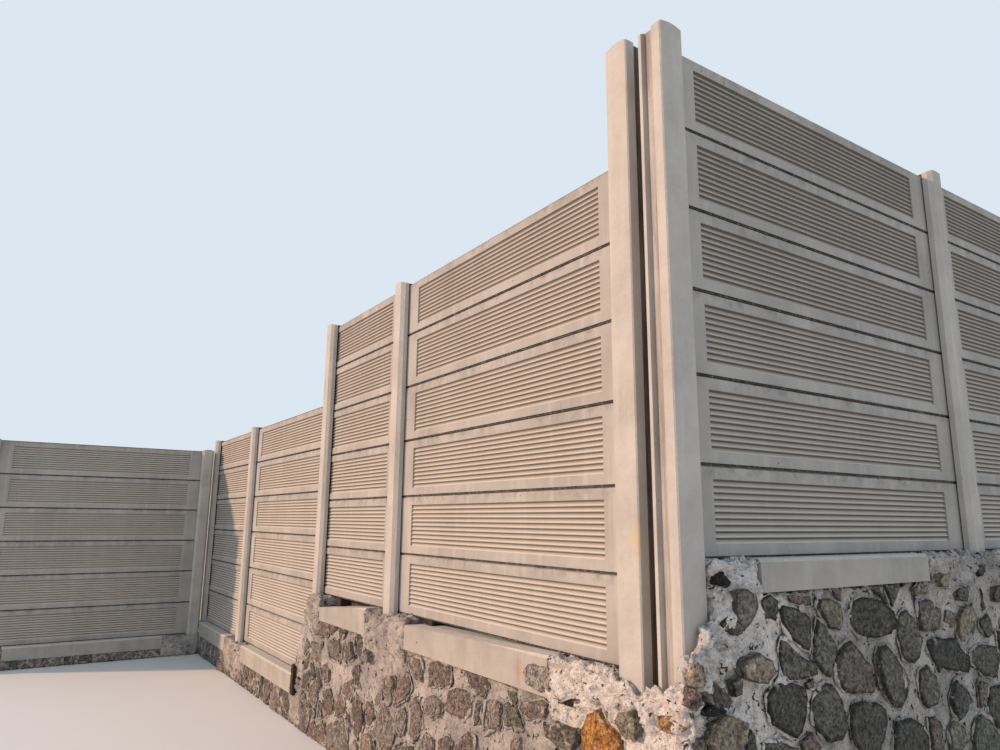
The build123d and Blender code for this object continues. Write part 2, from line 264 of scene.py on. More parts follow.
def stoneMaterial(name, finish):
    material, add = startMaterial(name)
    place = add("ShaderNodeTexCoord").outputs["Object"]
    tint = add("ShaderNodeAttribute", attribute_name="tint").outputs["Color"]
    edge = add("ShaderNodeAttribute", attribute_name="rim").outputs["Fac"]
    patches = add("ShaderNodeTexNoise", {"Vector": place, "Scale": 1 / finish["patchSize"], "Detail": 6.0,
                                         "Roughness": 0.65})
    shade = add("ShaderNodeMapRange", {"Value": patches, "From Min": 0.3, "From Max": 0.7, "To Min": 0.75,
                                       "To Max": 1.75})
    # chips and facets of the split face
    chips = add("ShaderNodeTexNoise", {"Vector": place, "Scale": 1 / finish["chipSize"], "Detail": 2.5,
                                       "Roughness": 0.7})
    chipShade = add("ShaderNodeMapRange", {"Value": chips, "From Min": 0.36, "From Max": 0.64, "To Min": 0.4,
                                           "To Max": 1.7})
    # dirt and shadow gather in the crevice round the stone
    crevice = add("ShaderNodeMapRange", {"Value": edge, "From Min": 0.55, "From Max": 1.0, "To Min": 1.0,
                                         "To Max": finish["crevice"]})
    for other in (chipShade, crevice):
        shade = add("ShaderNodeMath", {0: shade, 1: other}, operation="MULTIPLY")
    colour = add("ShaderNodeVectorMath", {0: tint, "Scale": shade}, operation="SCALE")
    speckle = add("ShaderNodeTexNoise", {"Vector": place, "Scale": 1 / finish["grainSize"], "Detail": 3.0,
                                         "Roughness": 0.7})
    speckleShare = add("ShaderNodeMapRange", {"Value": speckle, "From Min": 0.6, "From Max": 0.78,
                                              "To Max": 0.5})
    # mortar smears: more of them near the rim, and here and there on the face
    smears = add("ShaderNodeTexNoise", {"Vector": place, "Scale": 24.0, "Detail": 7.0, "Roughness": 0.72,
                                        "Distortion": 0.6})
    smearLevel = add("ShaderNodeMath", {0: edge, 1: 0.05, 2: smears}, operation="MULTIPLY_ADD")
    smearShare = add("ShaderNodeMapRange", {"Value": smearLevel, "From Min": finish["smearFrom"],
                                            "From Max": finish["smearFrom"] + 0.08, "To Max": 0.85})
    colour = layered(add, colour, [(finish["lichen"], speckleShare), (finish["smear"], smearShare)])
    relief = add("ShaderNodeMath", {0: patches, 1: 1.5, 2: speckle}, operation="MULTIPLY_ADD")
    relief = add("ShaderNodeMath", {0: chips, 1: 2.5, 2: relief}, operation="MULTIPLY_ADD")
    return finishMaterial(material, add, finish, colour, relief)


# Bedding mortar: thrown on by hand, sandy and crumbly, pale where it is dry, with pits and earth splashes.
mortarFinish = {"dry": "#d0c5bb", "grey": "#a09992", "hollow": "#6e675f", "pit": "#26211d",
                "earth": "#93785f", "fresh": "#f6ece3", "freshAt": (0.03, 0.15, 1.15),
                "freshReach": 0.97, "sandSize": 0.011, "lumpSize": 0.05, "pitSize": 0.03, "patchSize": 0.22,
                "bumpDepth": 0.012, "bumpStrength": 1.0, "roughness": 0.95, "gloss": 0.2}


def mortarMaterial(name, finish):
    material, add = startMaterial(name)
    place = add("ShaderNodeTexCoord").outputs["Object"]
    patches = add("ShaderNodeTexNoise", {"Vector": place, "Scale": 1 / finish["patchSize"], "Detail": 6.0,
                                         "Roughness": 0.65})
    patchShare = add("ShaderNodeMapRange", {"Value": patches, "From Min": 0.38, "From Max": 0.64})
    # the mortar heaped at the outer corner is newer and nearly white
    toFresh = add("ShaderNodeVectorMath", {0: place, 1: finish["freshAt"]},
                  operation="DISTANCE").outputs["Value"]
    raggedFresh = add("ShaderNodeMath", {0: patches, 1: 0.5, 2: toFresh}, operation="MULTIPLY_ADD")
    freshShare = add("ShaderNodeMapRange", {"Value": raggedFresh, "From Min": finish["freshReach"],
                                            "From Max": finish["freshReach"] - 0.12, "To Max": 0.85})
    splashes = add("ShaderNodeTexNoise", {"Vector": place, "Scale": 7.0, "Detail": 8.0, "Roughness": 0.75,
                                          "Distortion": 0.4})
    splashShare = add("ShaderNodeMapRange", {"Value": splashes, "From Min": 0.58, "From Max": 0.74,
                                             "To Max": 0.65})
    layers = [(finish["grey"], patchShare), (finish["fresh"], freshShare), (finish["earth"], splashShare)]
    colour = layered(add, toLinear(finish["dry"]), layers)
    sand = add("ShaderNodeTexNoise", {"Vector": place, "Scale": 1 / finish["sandSize"], "Detail": 3.0,
                                      "Roughness": 0.7})
    sandShade = add("ShaderNodeMapRange", {"Value": sand, "From Min": 0.32, "From Max": 0.68, "To Min": 0.74,
                                           "To Max": 1.2})
    colour = add("ShaderNodeVectorMath", {0: colour, "Scale": sandShade}, operation="SCALE")
    # painted shade: grey in the hollows between the lumps, and dark in the sharp pits where grit fell out
    lumps = add("ShaderNodeTexNoise", {"Vector": place, "Scale": 1 / finish["lumpSize"], "Detail": 7.0,
                                       "Roughness": 0.72})
    hollowShare = add("ShaderNodeMapRange", {"Value": lumps, "From Min": 0.48, "From Max": 0.36,
                                             "To Max": 0.6})
    grit = add("ShaderNodeTexNoise", {"Vector": place, "Scale": 1 / finish["pitSize"], "Detail": 3.0,
                                      "Roughness": 0.6, "Distortion": 0.8})
    pitShare = add("ShaderNodeMapRange", {"Value": grit, "From Min": 0.385, "From Max": 0.35, "To Max": 0.95})
    colour = layered(add, colour, [(finish["hollow"], hollowShare), (finish["pit"], pitShare)])
    relief = add("ShaderNodeMath", {0: lumps, 1: 3.0, 2: sand}, operation="MULTIPLY_ADD")
    relief = add("ShaderNodeMath", {0: relief, 1: pitShare}, operation="SUBTRACT")
    return finishMaterial(material, add, finish, colour, relief)


# Common fired brick, broken and weathered: porous red-brown clay, darker on its burnt skin.
brickFinish = {"clay": [(0.3, "#211613"), (0.55, "#3d2922"), (0.75, "#5f4a40")], "bumpDepth": 0.003,
               "bumpStrength": 1.0, "roughness": 0.93, "gloss": 0.5}


def brickMaterial(name, finish):
    material, add = startMaterial(name)
    place = add("ShaderNodeTexCoord").outputs["Object"]
    clay = add("ShaderNodeTexNoise", {"Vector": place, "Scale": 60.0, "Detail": 6.0, "Roughness": 0.7})
    colour = add("ShaderNodeValToRGB", {0: clay}, stops=finish["clay"]).outputs[0]
    return finishMaterial(material, add, finish, colour, clay)


quarterTurn = math.pi / 2
# where each run's planks have their face, how its texture turns, the height of its lowest plank, and how
# strong the painted shade under its arrises is
runs = {
    "right": {"turn": 0.0, "plane": 0.0, "level": 1.6, "undersideShadeStrength": 0.85},
    "left_upper": {"turn": quarterTurn, "plane": 0.0, "level": 1.115, "undersideShadeStrength": 0.7},
    "left_lower": {"turn": quarterTurn, "plane": 0.0, "level": 0.4, "undersideShadeStrength": 0.65},
    "far": {"turn": 0.0, "plane": 8.5, "level": 0.255, "undersideShadeStrength": 0.6},
}
plankMaterials = {name: concreteMaterial(f"fluted_cast_concrete_{name}", plankFinish, **run)
                  for name, run in runs.items()}
openSlot = {"colour": "#6f6054", "least": 0.1, "most": 0.65, "from": -0.0092}
# nearly black painted shade in the slots that a plank's end closes
closedSlotShade = {"colour": "#1b1714", "least": 0.85, "most": 0.95, "from": -0.0092}
# painted shade in the slot that faces the other corner post
cornerSlotShade = {"colour": "#241c18", "least": 0.6, "most": 0.9, "from": 0.0}
postMaterials = {
    "left_corner": concreteMaterial("cast_concrete_post_left_corner", postFinish, turn=quarterTurn,
                                    slotStainAndShade=cornerSlotShade, rustAt=(-0.2, -0.065, 1.675), rustColour="#c9a35e"),
    "right": concreteMaterial("cast_concrete_post_right", postFinish, slotStainAndShade=closedSlotShade),
    "left": concreteMaterial("cast_concrete_post_left", postFinish, turn=quarterTurn, slotStainAndShade=closedSlotShade),
    "far": concreteMaterial("cast_concrete_post_far", postFinish, plane=8.5, slotStainAndShade=closedSlotShade),
    "right_open": concreteMaterial("cast_concrete_post_right_open", postFinish, slotStainAndShade=openSlot),
    "far_open": concreteMaterial("cast_concrete_post_far_open", postFinish, plane=8.5, slotStainAndShade=openSlot),
}
openPosts = ("corner_post_right", "right_post_2", "far_post_2")  # one slot of each of these holds no plank
beamMaterials = {
    "right": concreteMaterial("trowelled_concrete_right", beamFinish),
    "left": concreteMaterial("trowelled_concrete_left", beamFinish, turn=quarterTurn,
                             rustAt=(-1.03, -0.1, 1.0)),
}
rubbleStone = stoneMaterial("split_rubble_stone", stoneFinish)
sunnyStone = stoneMaterial("mortar_smeared_rubble_stone", sunnyStoneFinish)
beddingMortar = mortarMaterial("bedding_mortar", mortarFinish)
# the right run's mortar is cleaner than the rest
paleMortar = mortarMaterial("pale_bedding_mortar", dict(mortarFinish, dry="#dbd1c7", grey="#aca59d"))
# a dark copy of the bedding mortar: painted shade for the packing seen through the wedge gaps
shadedPackingMortar = mortarMaterial("packing_mortar_painted_shade", dict(
    mortarFinish, dry="#75685a", grey="#5c5147", hollow="#3a312a", earth="#5f4e3d"))
firedBrick = brickMaterial("fired_clay_brick", brickFinish)

for name, node in cadNodes.items():
    node.data.materials.clear()
    if "_planks_course_" in name:
        node.data.materials.append(plankMaterials[name.split("_planks_")[0]])
    elif "post" in name:
        side = "right" if "right" in name else "far" if "far" in name else "left"
        ending = "_open" if name in openPosts else "_corner" if name == "corner_post_left" else ""
        node.data.materials.append(postMaterials[side + ending])
    elif "beams" in name:
        node.data.materials.append(beamMaterials["left" if "left" in name else "right"])
    else:
        node.data.materials.append(firedBrick if "brick" in name else beddingMortar)
print("finishes set on the CAD nodes")


def startTree(name, sockets):
    # an empty geometry tree with named inputs, given as name: (socket kind, value)
    tree = bpy.data.node_groups.new(name, "GeometryNodeTree")
    tree.interface.new_socket("Geometry", in_out="INPUT", socket_type="NodeSocketGeometry")
    tree.interface.new_socket("Geometry", in_out="OUTPUT", socket_type="NodeSocketGeometry")
    for label, (kind, value) in sockets.items():
        socket = tree.interface.new_socket(label, in_out="INPUT", socket_type=kind)
        if value is not None:
            socket.default_value = value
    return tree, partial(addNode, tree), addNode(tree, "NodeGroupInput").outputs


def endTree(add, geometry, finish):
    finished = add("GeometryNodeSetMaterial", {"Geometry": geometry, "Material": finish})
    add("NodeGroupOutput", {0: add("GeometryNodeRealizeInstances", {"Geometry": finished})})


def meshObject(name, mesh):
    piece = bpy.data.objects.new(name, mesh)
    bpy.context.scene.collection.objects.link(piece)
    return piece


def dressed(piece, tree, values):
    # puts a geometry tree on a piece, with its inputs set by identifier
    modifier = piece.modifiers.new(tree.name, "NODES")
    modifier.node_group = tree
    for item in tree.interface.items_tree:
        if item.item_type == "SOCKET" and item.in_out == "INPUT" and item.name in values:
            modifier[item.identifier] = values[item.name]
    return piece


def frozen(piece, name):
    # the finished shape as a plain mesh, without its modifiers
    bpy.context.view_layer.update()
    shape = bpy.data.meshes.new_from_object(piece.evaluated_get(bpy.context.evaluated_depsgraph_get()))
    bpy.data.objects.remove(piece)
    return meshObject(name, shape)


def hold(piece):
    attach(piece, "root")
    return piece


# Mortar bodies: the plinths' own shapes, softened and made rough
mortarTree, add, given = startTree("roughMortar", {
    "Lump size": ("NodeSocketFloat", 0.11),
    "Lump depth": ("NodeSocketFloat", 0.012),
    "Grain size": ("NodeSocketFloat", 0.035),
    "Grain depth": ("NodeSocketFloat", 0.005),
    "Sink": ("NodeSocketFloat", 0.006),
    "Thrown above": ("NodeSocketFloat", 9.0),
    "Thrown size": ("NodeSocketFloat", 0.06),
    "Thrown depth": ("NodeSocketFloat", 0.03),
    "Seed": ("NodeSocketFloat", 1.0),
    "Finish": ("NodeSocketMaterial", None),
})
spot = add("GeometryNodeInputPosition")
# each layer of lumps: its noise, the part of it that is used, and the height that this part gives
lumpLayers = {
    "Lump": ({"Detail": 3.0}, (0.25, 0.75), (-1.0, 1.0)),
    "Grain": ({"Detail": 2.0}, (0.25, 0.75), (-1.0, 1.0)),
    "Thrown": ({"Detail": 5.0, "Roughness": 0.68, "Distortion": 0.5}, (0.33, 0.62), (-1.2, 0.7)),
}
heights = {}
for name, (options, used, reach) in lumpLayers.items():
    scale = add("ShaderNodeMath", {0: 1.0, 1: given[f"{name} size"]}, operation="DIVIDE")
    noise = add("ShaderNodeTexNoise", {"Vector": spot, "W": given["Seed"], "Scale": scale, **options},
                noise_dimensions="4D")
    heights[name] = add("ShaderNodeMapRange", {"Value": noise, "From Min": used[0], "From Max": used[1],
                                               "To Min": reach[0], "To Max": reach[1]})
height = add("ShaderNodeMath", {0: heights["Lump"], 1: given["Lump depth"]}, operation="MULTIPLY")
height = add("ShaderNodeMath", {0: heights["Grain"], 1: given["Grain depth"], 2: height},
             operation="MULTIPLY_ADD")
height = add("ShaderNodeMath", {0: height, 1: given["Sink"]}, operation="SUBTRACT")
# the haunches are thrown on in lumps, with deep holes between them
aboveLevel = add("ShaderNodeMath", {0: add("ShaderNodeSeparateXYZ", {0: spot}).outputs["Z"],
                                    1: given["Thrown above"]}, operation="SUBTRACT")
thrownShare = add("ShaderNodeMapRange", {"Value": aboveLevel, "From Min": -0.06, "From Max": 0.06})
thrown = add("ShaderNodeMath", {0: heights["Thrown"], 1: given["Thrown depth"]}, operation="MULTIPLY")
height = add("ShaderNodeMath", {0: thrown, 1: thrownShare, 2: height}, operation="MULTIPLY_ADD")
push = add("ShaderNodeVectorMath", {0: add("GeometryNodeInputNormal"), "Scale": height}, operation="SCALE")
moved = add("GeometryNodeSetPosition", {"Geometry": given["Geometry"], "Offset": push})
# nothing goes below the ground
onGround = add("ShaderNodeSeparateXYZ", {0: add("GeometryNodeInputPosition")}).outputs
notBelow = add("ShaderNodeMath", {0: onGround["Z"], 1: 0.0}, operation="MAXIMUM")
grounded = add("ShaderNodeCombineXYZ", {0: onGround["X"], 1: onGround["Y"], 2: notBelow})
moved = add("GeometryNodeSetPosition", {"Geometry": moved, "Position": grounded})
endTree(add, add("GeometryNodeSetShadeSmooth", {"Geometry": moved}), given["Finish"])


def mergedCopy(name):
    # a copy of a CAD node's mesh with its loose triangles joined
    mesh = cadNodes[name].data.copy()
    mesh.materials.clear()
    shape = bmesh.new()
    shape.from_mesh(mesh)
    bmesh.ops.remove_doubles(shape, verts=shape.verts, dist=0.00002)
    shape.to_mesh(mesh)
    shape.free()
    return mesh


def roughBody(source, name, voxel, softening, values):
    # remeshes a closed shape in small cells, rounds its edges, and roughens it
    remesh = source.modifiers.new("cells", "REMESH")
    remesh.mode = "VOXEL"
    remesh.voxel_size = voxel
    remesh.use_smooth_shade = True
    soften = source.modifiers.new("soften", "SMOOTH")
    soften.factor = 0.5
    soften.iterations = softening
    return frozen(dressed(source, mortarTree, {"Finish": beddingMortar, **values}), name)


plinthBodies = {
    "right_plinth": {"voxel": 0.0165, "softening": 3, "Seed": 1.0, "Lump depth": 0.012, "Sink": 0.008,
                     "Thrown above": 1.4},
    "left_upper_plinth": {"voxel": 0.0135, "softening": 3, "Seed": 2.0, "Lump depth": 0.014, "Sink": 0.008,
                          "Thrown above": 0.9},
    "left_lower_plinth": {"voxel": 0.017, "softening": 3, "Seed": 3.0, "Lump depth": 0.01, "Sink": 0.006,
                          "Thrown above": 0.24},
    "far_plinth": {"voxel": 0.02, "softening": 4, "Seed": 4.0, "Lump depth": 0.008, "Sink": 0.005},
}
# more mortar heaped round the feet of the two posts at the outer corner, over the end of the lower left
# run's planks, and at the post where the second sagging beam ends: middle and half sizes
heapLumps = [
    ((-0.085, 0.66, 0.95), (0.05, 0.14, 0.09)), ((-0.085, 0.46, 0.99), (0.052, 0.15, 0.095)),
    ((-0.085, 0.27, 0.99), (0.052, 0.13, 0.105)), ((-0.085, 0.09, 1.0), (0.052, 0.12, 0.11)),
    ((-0.085, -0.06, 1.04), (0.06, 0.09, 0.11)), ((-0.06, -0.095, 1.13), (0.085, 0.045, 0.14)),
    ((0.03, -0.095, 1.2), (0.085, 0.045, 0.15)), ((0.12, -0.09, 1.29), (0.1, 0.045, 0.15)),
    ((-0.06, 4.29, 0.71), (0.07, 0.1, 0.09)), ((-0.06, 4.37, 0.61), (0.07, 0.09, 0.1)),
    ((-0.065, 4.41, 0.52), (0.07, 0.07, 0.08)), ((-0.03, 4.06, 1.03), (0.075, 0.075, 0.075)),
    ((-0.05, 3.98, 1.0), (0.05, 0.05, 0.05)),
]


def heaped(mesh, heap):
    # adds closed lumps to a mesh, for the remesh to melt together
    shape = bmesh.new()
    shape.from_mesh(mesh)
    for middle, half in heap:
        place = Matrix.Translation(middle) @ Matrix.Diagonal((*half, 1.0))
        bmesh.ops.create_icosphere(shape, subdivisions=3, radius=1.0, matrix=place)
    shape.to_mesh(mesh)
    shape.free()
    return mesh


def blockMesh(blocks):
    # a mesh of plain blocks, given as middles and sizes, for the remesh to round and roughen
    shape = bmesh.new()
    for middle, size in blocks:
        place = Matrix.Translation(middle) @ Matrix.Diagonal((*size, 1.0))
        bmesh.ops.create_cube(shape, size=1.0, matrix=place)
    mesh = bpy.data.meshes.new("blocks")
    shape.to_mesh(mesh)
    shape.free()
    return meshObject("source", mesh)


for name, values in plinthBodies.items():
    shape = mergedCopy(name)
    source = meshObject("source", heaped(shape, heapLumps) if name == "left_upper_plinth" else shape)
    sizes = {key: value for key, value in values.items() if key[0].isupper()}
    sizes["Finish"] = paleMortar if name == "right_plinth" else beddingMortar
    body = roughBody(source, f"{name}_mortar", values["voxel"], values["softening"], sizes)
    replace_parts(hold(body), name)
    print("mortar body:", name, len(body.data.polygons), "faces")

# mortar packed behind the planks on the two sagging beams, which closes the wedge gaps from the back, painted
# dark as shade
packing = [((0.125, 1.66, 1.05), (0.05, 2.12, 0.2)), ((0.125, 3.56, 1.05), (0.05, 1.28, 0.2))]
packedMortar = roughBody(blockMesh(packing), "packed_mortar", 0.014, 3,
                         {"Seed": 6.0, "Lump depth": 0.01, "Finish": shadedPackingMortar})
hold(packedMortar)
print("packed mortar:", len(packedMortar.data.polygons), "faces")

# the bricks are broken ones, with ragged ends
brokenBrick = {"Lump size": 0.03, "Lump depth": 0.008, "Grain size": 0.012, "Grain depth": 0.003,
               "Sink": 0.003, "Seed": 5.0, "Finish": firedBrick}
bricks = roughBody(meshObject("source", mergedCopy("left_upper_brick_shims")), "broken_bricks", 0.005, 4,
                   brokenBrick)
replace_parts(hold(bricks), "left_upper_brick_shims")
# one more brick stands on end against the near end of the lower left run's beam
standingBrick = [((-0.09, 4.435, 0.375), (0.105, 0.065, 0.255))]
hold(roughBody(blockMesh(standingBrick), "brick_on_end", 0.006, 2, brokenBrick))
print("bricks:", len(bricks.data.polygons), "faces")


# Stones: the cells of a power diagram on each side of the masonry, cut back for the joints
rubble = {
    "spacing": 0.245,
    "sizes": (0.4, 0.6, 0.85, 1.0, 1.2, 1.4),   # shares of half the spacing
    "tries": 40,             # for each square of the spacing
    "crowding": 0.8,         # how near two stones may come, as a share of their sizes together
    "neighbourReach": 0.65,
    "jointLeast": 0.003,
    "jointMost": 0.019,
    "edgeStep": 0.04,
    "edgeWander": 0.008,
    "tracedGrowth": 0.011,   # makes up for the rounded edge and the mortar that laps over it
    "cornerCut": 0.25,       # chance that a sharp corner is knocked off
    "cornerFrom": 0.75,      # how far out a corner has to be, as a share of the farthest one
    "cutDepth": (0.06, 0.15),
    "leastReach": 0.035,     # smaller stones are left out
    "twist": 0.42,           # how far a joint turns from square to the line between its two stones
    "bedding": 0.03,         # how far the stones reach in behind the face of the mortar
    "standOut": 0.013,
    "sunnyStandOut": 0.45,   # share of it on the sunny runs, whose mortar lies nearly flush
    "lean": 0.2,
    "bleach": 1.12,          # the stones of the sunny runs are paler
}
stoneTints = {
    "charcoal": "#5e5a50",
    "basalt": "#4e4b43",
    "greyBrown": "#716860",
    "brown": "#685c53",
    "olive": "#6f6a5a",
    "tan": "#857867",
    "purple": "#6f5f5b",
    "orange": "#9d6c34",
    "yellow": "#987a52",
    "grey": "#7d756d",
    # near black: painted shade for the dark hollows in the masonry
    "hollow": "#1d1a17",
}
darkMix = ["charcoal"] * 5 + ["basalt"] * 4 + ["greyBrown"] * 3 + ["brown", "olive", "tan"]
warmMix = ["greyBrown"] * 5 + ["brown"] * 4 + ["charcoal"] * 3 + ["purple", "tan", "olive"]


def clipped(outline, normal, limit):
    # the part of an outline where normal . point is no more than limit
    kept = []
    for here, there in zip(outline, outline[1:] + outline[:1]):
        inside = normal[0] * here[0] + normal[1] * here[1] - limit
        ahead = normal[0] * there[0] + normal[1] * there[1] - limit
        if inside <= 0:
            kept.append(here)
        if inside * ahead < 0:
            share = inside / (inside - ahead)
            kept.append((here[0] + share * (there[0] - here[0]), here[1] + share * (there[1] - here[1])))
    return kept


def middleOf(outline):
    return tuple(sum(p[k] for p in outline) / len(outline) for k in (0, 1))


def grown(outline, reach):
    # the outline with each of its points moved away from its middle
    middle = middleOf(outline)
    return [tuple(p[k] + (p[k] - middle[k]) * reach / math.dist(p, middle) for k in (0, 1)) for p in outline]


def within(point, outline):
    # whether a point lies inside an outline
    crossings = 0
    for here, there in zip(outline, outline[1:] + outline[:1]):
        if (here[1] > point[1]) != (there[1] > point[1]):
            share = (point[1] - here[1]) / (there[1] - here[1])
            crossings += point[0] < here[0] + share * (there[0] - here[0])
    return crossings % 2 == 1


def scattered(side, dice):
    # stone centres with their sizes: those traced from the photo first, then chance ones between them
    seeds = []
    for tone, outline in side["traced"]:
        middle = middleOf(outline)
        seeds.append((*middle, sum(math.dist(p, middle) for p in outline) / len(outline), tone))
    width, height = side["size"]
    for _ in range(int(width * height / rubble["spacing"] ** 2 * rubble["tries"])):
        size = rubble["spacing"] / 2 * dice.choice(rubble["sizes"]) * side.get("coarseness", 1.0)
        u, v = dice.uniform(0, width), dice.uniform(0, height)
        if all((u - a) ** 2 + (v - b) ** 2 > (rubble["crowding"] * (size + other)) ** 2
               for a, b, other, _ in seeds):
            seeds.append((u, v, size, dice.choice(side["mix"])))
    return seeds


def wavered(outline, centre, dice):
    # breaks the edges of an outline into short uneven steps
    wavy = []
    for here, there in zip(outline, outline[1:] + outline[:1]):
        steps = max(1, round(math.dist(here, there) / rubble["edgeStep"]))
        for step in range(steps):
            share = step / steps
            point = [here[k] + share * (there[k] - here[k]) for k in (0, 1)]
            inward = dice.uniform(0, rubble["edgeWander"]) / max(math.dist(point, centre), 0.01)
            wavy.append(tuple(point[k] + inward * (centre[k] - point[k]) for k in (0, 1)))
    return wavy


def stoneOutlines(side, dice):
    width, height = side.get("size", (0, 0))
    traced = [grown(outline, rubble["tracedGrowth"]) for _, outline in side["traced"]]
    stones = [(wavered(outline, middleOf(outline), dice), middleOf(outline), tone)
              for outline, (tone, _) in zip(traced, side["traced"])]
    seeds = scattered(side, dice) if "mix" in side else []
    for number, (u, v, size, tone) in enumerate(seeds):
        if number < len(traced) or any(a < u < b and c < v < d for a, b, c, d in side.get("covered", [])):
            continue
        outline = [(0.0, 0.0), (width, 0.0), (width, height), (0.0, height)]
        for otherNumber, (a, b, other, _) in enumerate(seeds):
            gap = math.hypot(a - u, b - v)
            if otherNumber == number or gap > rubble["neighbourReach"]:
                continue
            normal = ((a - u) / gap, (b - v) / gap)
            middle = (gap * gap + size * size - other * other) / (2 * gap)
            onJoint = (u + normal[0] * middle, v + normal[1] * middle)
            # the two stones share the same turn, so that they never overlap
            first, last = min(number, otherNumber), max(number, otherNumber)
            turn = rubble["twist"] * math.sin(7.1 * first + 13.7 * last)
            normal = (normal[0] * math.cos(turn) - normal[1] * math.sin(turn),
                      normal[0] * math.sin(turn) + normal[1] * math.cos(turn))
            joint = dice.uniform(rubble["jointLeast"], rubble["jointMost"]) * side.get("joints", 1.0)
            outline = clipped(outline, normal, normal[0] * onJoint[0] + normal[1] * onJoint[1] - joint)
            if len(outline) < 3:
                break
        if len(outline) < 3:
            continue
        centre = middleOf(outline)
        reach = max(math.dist(p, centre) for p in outline)
        for corner in list(outline):
            # knocks off some of the sharp corners
            away = math.dist(corner, centre)
            if away > rubble["cornerFrom"] * reach and dice.random() < rubble["cornerCut"]:
                normal = ((corner[0] - centre[0]) / away, (corner[1] - centre[1]) / away)
                edge = normal[0] * corner[0] + normal[1] * corner[1]
                outline = clipped(outline, normal, edge - away * dice.uniform(*rubble["cutDepth"]))
        wavy = wavered(outline, centre, dice) if len(outline) > 2 else []
        overTraced = any(within(p, other) for other in traced for p in wavy) or any(
            within(p, wavy) for other in traced for p in other)
        if len(wavy) > 4 and reach > rubble["leastReach"] and not overTraced:
            stones.append((wavy, centre, tone))
    for u, v, halfWidth, halfHeight, tone in side.get("loose", []):
        # a six-sided stone held in the mortar
        angles = [2 * math.pi * (k + dice.uniform(-0.2, 0.2)) / 6 for k in range(6)]
        outline = [(u + halfWidth * math.cos(a) * dice.uniform(0.9, 1.12),
                    v + halfHeight * math.sin(a) * dice.uniform(0.9, 1.12)) for a in angles]
        stones.append((wavered(outline, (u, v), dice), (u, v), tone))
    return stones


def haunchCover(posts, reach, low, high):
    # the parts of a side that the haunches round its posts cover
    return [(at - reach, at + reach, low, high) for at in posts]


